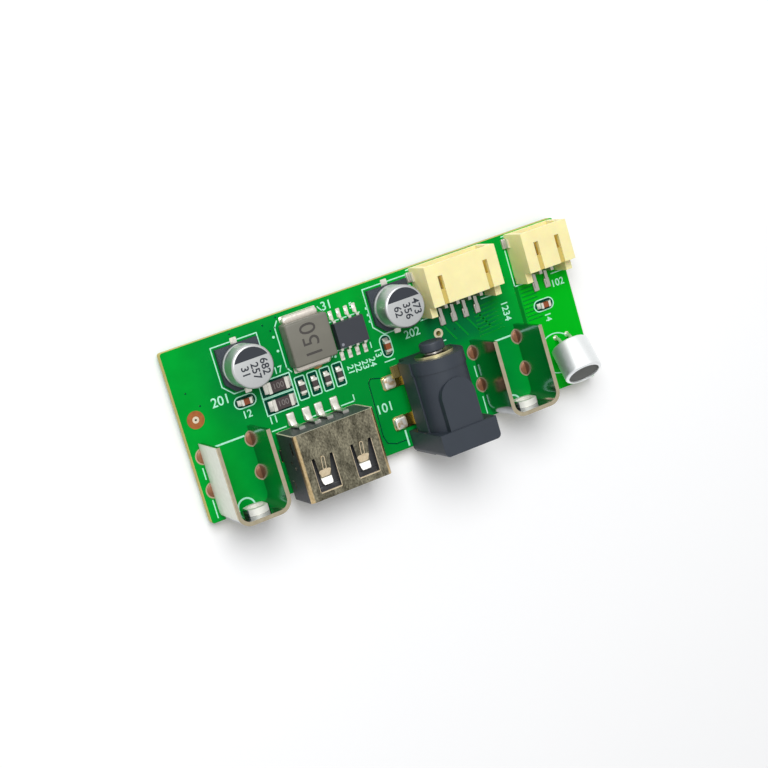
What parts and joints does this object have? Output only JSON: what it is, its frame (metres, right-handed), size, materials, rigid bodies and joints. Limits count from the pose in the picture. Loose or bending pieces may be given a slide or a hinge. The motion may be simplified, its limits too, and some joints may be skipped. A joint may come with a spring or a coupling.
{
  "type": "dc-dc adapter board",
  "caption": "Small power adapter board with a USB-A socket and a round power jack on one edge, wire headers on the other, folded panel brackets, a converter and a microphone capsule.",
  "frame": {"origin": "centre of the outer box at the level of the soldered tabs and leads that the board stands on", "axes": "+X along the long edge, +Y towards the edge with the wire headers, +Z out of the component side"},
  "size_m": [0.065, 0.0264, 0.0134],
  "materials": {
    "green_board": "glossy solder mask over glass epoxy",
    "tinned_steel": "smooth tinned sheet",
    "nickel_steel": "bright nickel plate, reflecting its surroundings",
    "solder": "bright solder and tinned leads",
    "brass": "plain brass",
    "black_plastic": "satin moulded plastic",
    "cream_plastic": "satin moulded nylon",
    "aluminium": "drawn can, satin",
    "ferrite": "matt moulded iron powder",
    "chip_ceramic": "fired ceramic",
    "felt": "thin black felt"
  },
  "bodies": {
    "root": {"capacitor_one_base": "black_plastic", "capacitor_one_can": "aluminium", "capacitor_one_leads": "solder", "capacitor_two_base": "black_plastic", "capacitor_two_can": "aluminium", "capacitor_two_leads": "solder", "chip_capacitor_1": "chip_ceramic", "chip_capacitor_2": "chip_ceramic", "chip_capacitor_3": "chip_ceramic", "chip_capacitor_ends": "solder", "circuit_board": "green_board", "converter_chip": "black_plastic", "converter_chip_leads": "solder", "four_pin_header": "cream_plastic", "four_pin_header_anchors": "solder", "four_pin_header_pins": "solder", "four_pin_header_solder": "solder", "inductor_body": "ferrite", "inductor_terminals": "solder", "jack_back_boss": "black_plastic", "jack_back_disc": "brass", "jack_centre_pin": "solder", "jack_housing": "black_plastic", "jack_left_contact": "brass", "jack_right_contact": "brass", "jack_solder": "solder", "large_resistor_1": "chip_ceramic", "large_resistor_2": "chip_ceramic", "large_resistor_ends": "solder", "left_bracket": "tinned_steel", "left_bracket_solder": "solder", "microphone_back_disc": "green_board", "microphone_can": "aluminium", "microphone_felt": "felt", "microphone_leads": "solder", "microphone_solder": "solder", "right_bracket": "tinned_steel", "right_bracket_solder": "solder", "small_resistor_1": "chip_ceramic", "small_resistor_2": "chip_ceramic", "small_resistor_3": "chip_ceramic", "small_resistor_4": "chip_ceramic", "small_resistor_ends": "solder", "two_pin_header": "cream_plastic", "two_pin_header_anchors": "solder", "two_pin_header_pins": "solder", "two_pin_header_solder": "solder", "usb_contacts": "solder", "usb_insulator": "black_plastic", "usb_shell": "nickel_steel", "usb_solder": "solder"}
  },
  "joints": []
}
